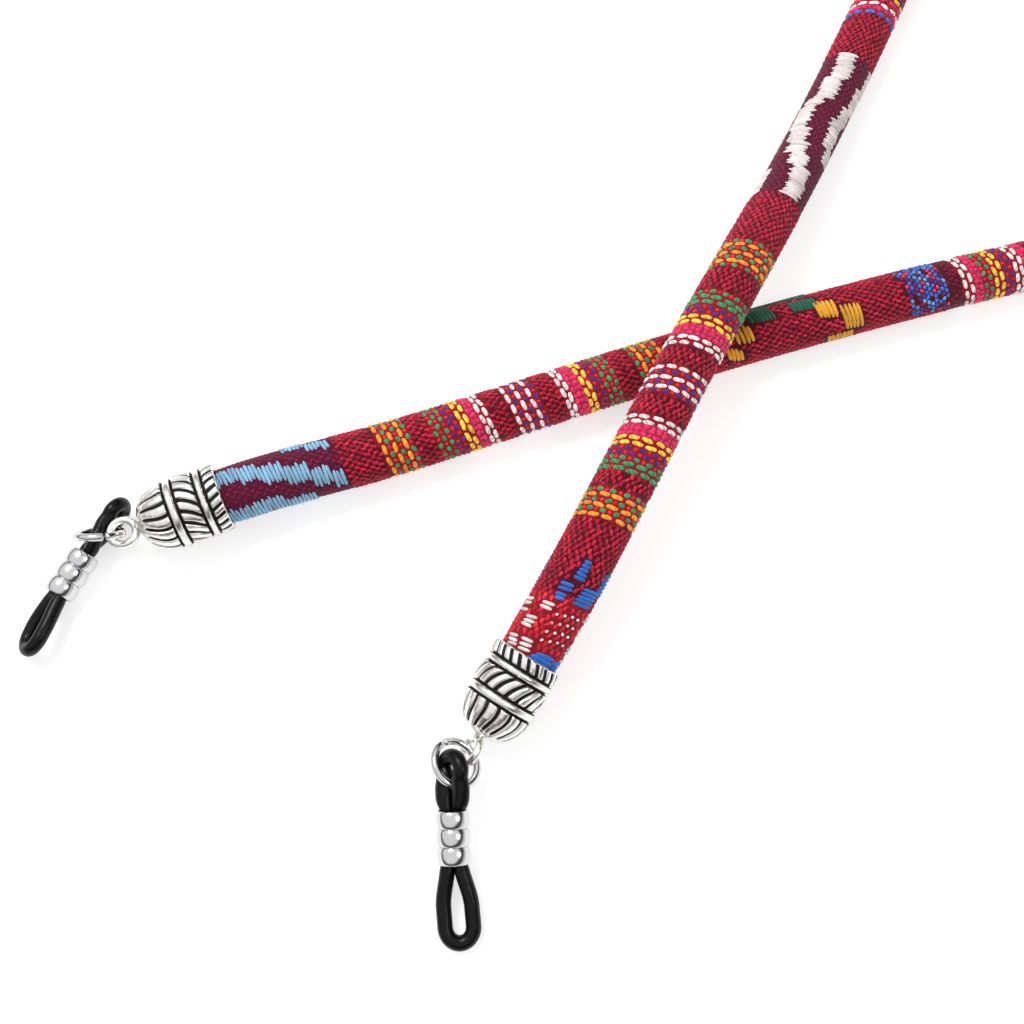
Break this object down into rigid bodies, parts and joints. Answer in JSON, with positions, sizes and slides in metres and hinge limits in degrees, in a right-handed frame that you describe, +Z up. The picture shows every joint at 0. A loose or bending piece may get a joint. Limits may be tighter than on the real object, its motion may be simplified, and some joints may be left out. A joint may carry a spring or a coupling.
{
  "type": "eyeglass retainer strap",
  "caption": "Woven cotton eyeglass retainer strap with cast end caps, split rings and rubber temple loops closed by ribbed sliding sleeves, surplus length coiled and tied.",
  "frame": {"origin": "on the surface the strap lies on, under the middle of the two metal and rubber ends", "axes": "+Z up from the surface; +X along the long side of the laid-out strap, from the ends towards the coil; +Y away from the viewer"},
  "size_m": [0.1921, 0.1569, 0.014],
  "materials": {
    "woven_cotton": "hand-woven cotton, crimson ground with bands of coloured brocade stitches",
    "storage_band": "plain black hook-and-loop band",
    "filler_cotton": "undyed twisted cotton cord",
    "cast_cap_metal": "antique silver plating on cast zinc alloy, blackened in the grooves",
    "hardened_glue": "amber glue, hidden inside the cap",
    "plated_wire": "bright plated steel wire",
    "black_rubber": "black satin silicone rubber",
    "plated_sleeve_metal": "bright plated brass, worn on the ribs"
  },
  "bodies": {
    "strap": {"strap_coil": "woven_cotton", "coil_tie": "storage_band", "strap_cover_left": "woven_cotton", "filler_cord_left": "filler_cotton", "end_cap_left": "cast_cap_metal", "glue_plug_left": "hardened_glue", "strap_cover_right": "woven_cotton", "filler_cord_right": "filler_cotton", "end_cap_right": "cast_cap_metal", "glue_plug_right": "hardened_glue"},
    "ring_left": {"split_ring_left": "plated_wire"},
    "loop_left": {"rubber_loop_left": "black_rubber"},
    "sleeve_left": {"ribbed_sleeve_left": "plated_sleeve_metal"},
    "ring_right": {"split_ring_right": "plated_wire"},
    "loop_right": {"rubber_loop_right": "black_rubber"},
    "sleeve_right": {"ribbed_sleeve_right": "plated_sleeve_metal"}
  },
  "joints": [
    {"name": "ring_left_swing", "type": "hinge", "parent": "strap", "child": "ring_left", "pos_m": [-0.0182, 0.0176, 0.004], "axis": [0, 0, 1], "range_deg": [-20, 60]},
    {"name": "loop_left_travel", "type": "hinge", "parent": "ring_left", "child": "loop_left", "pos_m": [-0.02048, 0.01716, 0.00471], "axis": [-0.0251, 0.8822, 0.4702], "range_deg": [0, 110]},
    {"name": "ring_right_swing", "type": "hinge", "parent": "strap", "child": "ring_right", "pos_m": [0.0197, -0.0058, 0.0026], "axis": [-0.7573, 0.3379, 0.5589], "range_deg": [-100, 50]},
    {"name": "loop_right_travel", "type": "hinge", "parent": "ring_right", "child": "loop_right", "pos_m": [0.01828, -0.00732, 0.00385], "axis": [-0.4923, -0.2305, -0.8393], "range_deg": [-75, 75]},
    {"name": "sleeve_left_slide", "type": "slide", "parent": "loop_left", "child": "sleeve_left", "axis": [-0.489, -0.8714, -0.0401], "range_m": [0, 0.005], "deforming": ["rubber_loop_left"]},
    {"name": "sleeve_right_slide", "type": "slide", "parent": "loop_right", "child": "sleeve_right", "axis": [0.0377, -0.9667, -0.2532], "range_m": [0, 0.005], "deforming": ["rubber_loop_right"]}
  ]
}
